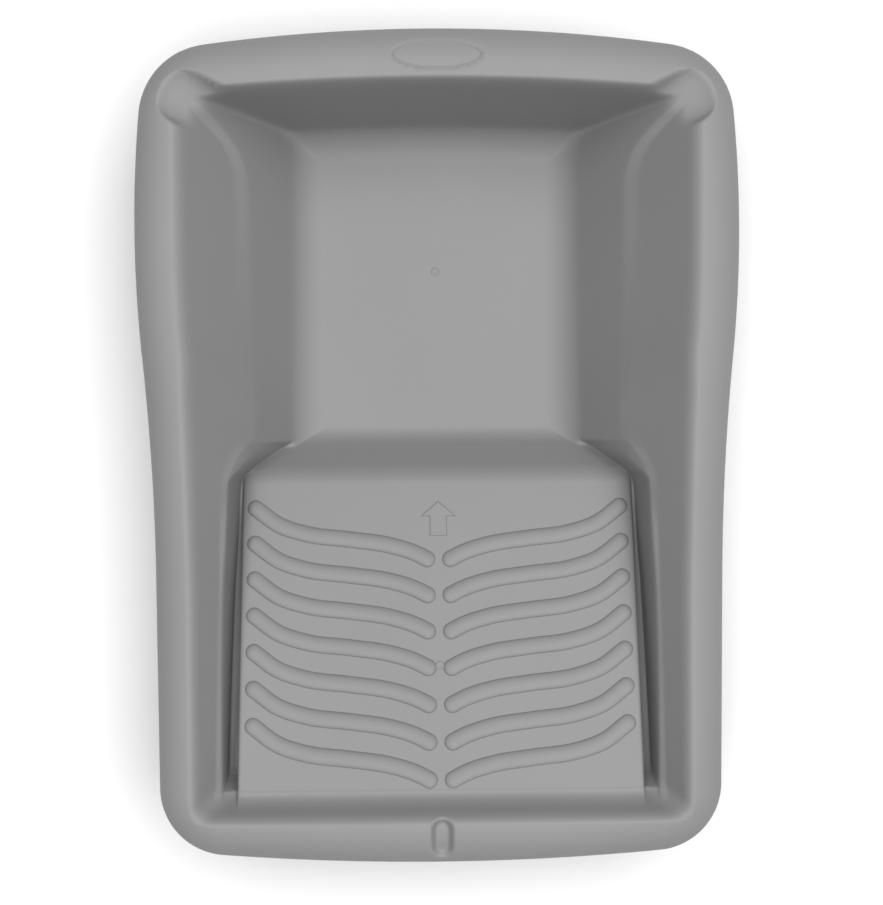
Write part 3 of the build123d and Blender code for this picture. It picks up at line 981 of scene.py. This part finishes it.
def make_gate_mark(name, centre):
    """The small ring that the moulding gate leaves."""
    angles = np.linspace(0, 2 * pi, GATE_STEPS, endpoint=False)
    points, faces = [], []
    base = float(height(np.array(centre[0]), np.array(centre[1])))
    slope = -RAMP_SLOPE if centre[1] < 0 else 0.0
    for share, rise in GATE_PROFILE[1:] + [(1.0, -BURIED)]:
        for angle in angles:
            x, y = share * GATE_R * cos(angle), share * GATE_R * sin(angle)
            points.append((centre[0] + x, centre[1] + y, base + rise + slope * y))
    for k in range(len(GATE_PROFILE) - 1):
        for n in range(GATE_STEPS):
            a, b = k * GATE_STEPS + n, k * GATE_STEPS + (n + 1) % GATE_STEPS
            faces.append([a, a + GATE_STEPS, b + GATE_STEPS, b])
    faces.append(list(range(GATE_STEPS)))
    faces.append([len(points) - 1 - n for n in range(GATE_STEPS)])
    piece = tidy_piece(points, faces, name, sharp=GATE_SHARP)
    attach(piece, "root")
    return piece


detail_pieces += [make_gate_mark(name, centre) for name, centre in GATE_MARKS.items()]


# ---------------------------------------------------------------- material

GREY_DARK = 0.275        # the plastic's greys, which drift a little across the tray
GREY_LIGHT = 0.285
FLOW_SCALE = 9.0
FLOW_BAND = (0.3, 0.7)
GRAIN_SCALE = 900.0      # the fine matte texture
GRAIN_STRENGTH = 0.12
GRAIN_DEPTH = 0.0002
ROUGHNESS = (0.5, 0.62)
SHEEN = 0.35


def noise(nodes, scale, detail):
    """A noise texture of a given scale and detail."""
    texture = nodes.new("ShaderNodeTexNoise")
    texture.inputs["Scale"].default_value = scale
    texture.inputs["Detail"].default_value = detail
    return texture


def plastic():
    """Matte mid-grey moulded plastic: fine texture, faint flow mottling, a soft sheen."""
    material = bpy.data.materials.new("tray_plastic")
    material.use_nodes = True
    nodes, links = material.node_tree.nodes, material.node_tree.links
    shader = nodes["Principled BSDF"]
    coordinates = nodes.new("ShaderNodeTexCoord")
    flow = noise(nodes, FLOW_SCALE, 3.0)
    links.new(coordinates.outputs["Object"], flow.inputs["Vector"])
    tint = nodes.new("ShaderNodeValToRGB")
    for element, place, grey in zip(tint.color_ramp.elements, FLOW_BAND, (GREY_DARK, GREY_LIGHT)):
        element.position = place
        element.color = (grey, grey, grey, 1)
    links.new(flow.outputs["Fac"], tint.inputs["Fac"])
    links.new(tint.outputs["Color"], shader.inputs["Base Color"])
    grain = noise(nodes, GRAIN_SCALE, 4.0)
    links.new(coordinates.outputs["Object"], grain.inputs["Vector"])
    bump = nodes.new("ShaderNodeBump")
    bump.inputs["Strength"].default_value = GRAIN_STRENGTH
    bump.inputs["Distance"].default_value = GRAIN_DEPTH
    links.new(grain.outputs["Fac"], bump.inputs["Height"])
    links.new(bump.outputs["Normal"], shader.inputs["Normal"])
    rough = nodes.new("ShaderNodeMapRange")
    rough.inputs["To Min"].default_value = ROUGHNESS[0]
    rough.inputs["To Max"].default_value = ROUGHNESS[1]
    links.new(grain.outputs["Fac"], rough.inputs["Value"])
    links.new(rough.outputs["Result"], shader.inputs["Roughness"])
    shader.inputs["Specular IOR Level"].default_value = SHEEN
    return material


PLASTIC = plastic()
for piece in list(shell_pieces.values()) + detail_pieces:
    piece.data.materials.clear()
    piece.data.materials.append(PLASTIC)


# ---------------------------------------------------------------- floor, light, camera

FLOOR_HALF = 3.0         # in metres, as everything from here on
FLOOR_DROP = 0.0005      # keeps the floor clear of the tray's underside
FLOOR_GREY = 0.93
FLOOR_ROUGHNESS = 0.9
FLOOR_SHEEN = 0.1


def make_floor():
    """A plain pale floor under the tray."""
    h = FLOOR_HALF
    mesh = bpy.data.meshes.new("floor")
    mesh.from_pydata([(-h, -h, 0), (h, -h, 0), (h, h, 0), (-h, h, 0)], [], [(0, 1, 2, 3)])
    floor = bpy.data.objects.new("floor", mesh)
    bpy.context.scene.collection.objects.link(floor)
    material = bpy.data.materials.new("pale_floor")
    material.use_nodes = True
    shader = material.node_tree.nodes["Principled BSDF"]
    shader.inputs["Base Color"].default_value = (FLOOR_GREY, FLOOR_GREY, FLOOR_GREY, 1)
    shader.inputs["Roughness"].default_value = FLOOR_ROUGHNESS
    shader.inputs["Specular IOR Level"].default_value = FLOOR_SHEEN
    mesh.materials.append(material)
    floor.location.z = -FLOOR_DROP


def add_area(name, place, target, size, power):
    """A square soft light that points at a place."""
    light = bpy.data.lights.new(name, "AREA")
    light.energy = power
    light.size = size
    holder = bpy.data.objects.new(name, light)
    bpy.context.scene.collection.objects.link(holder)
    holder.location = place
    holder.rotation_mode = "QUATERNION"
    holder.rotation_quaternion = (Vector(target) - Vector(place)).to_track_quat("-Z", "Y")
    return holder


WORLD_STRENGTH = 0.3
OVERHEAD = (0.15, 0.05, 1.8)
OVERHEAD_SIZE = 2.4
OVERHEAD_POWER = 53.0
VIEW_GAMMA = 0.85

make_floor()
world = bpy.data.worlds.new("studio")
world.use_nodes = True
world.node_tree.nodes["Background"].inputs["Color"].default_value = (1, 1, 1, 1)
world.node_tree.nodes["Background"].inputs["Strength"].default_value = WORLD_STRENGTH
bpy.context.scene.world = world
add_area("overhead", OVERHEAD, (0, 0, 0), OVERHEAD_SIZE, OVERHEAD_POWER)
bpy.context.scene.view_settings.view_transform = "Standard"
bpy.context.scene.view_settings.gamma = VIEW_GAMMA

CAMERA_RISE = 1.075      # camera above the rim
VIEW_HEIGHT = 0.5230     # how much of the rim's plane the picture takes in from top to bottom
SENSOR = 36.0            # in millimetres
CAMERA_SIDE = -0.025     # how far the camera stands off the middle
AIM = (0.0008, -0.0044)
ROLL = radians(-0.39)

camera_data = bpy.data.cameras.new("camera")
camera_data.sensor_fit = "VERTICAL"
camera_data.sensor_height = SENSOR
camera_data.sensor_width = SENSOR
camera_data.lens = SENSOR * CAMERA_RISE / VIEW_HEIGHT
camera = bpy.data.objects.new("camera", camera_data)
bpy.context.scene.collection.objects.link(camera)
eye = Vector((CAMERA_SIDE, AIM[1], RIM_TOP * MM + CAMERA_RISE))
aim = Vector((AIM[0], AIM[1], RIM_TOP * MM))
forward = (aim - eye).normalized()
up = Matrix.Rotation(ROLL, 3, "Z") @ Vector((0, 1, 0))
right = forward.cross(up).normalized()
up = right.cross(forward)
turn = Matrix((right, up, -forward)).transposed()
camera.matrix_world = Matrix.Translation(eye) @ turn.to_4x4()
bpy.context.scene.camera = camera
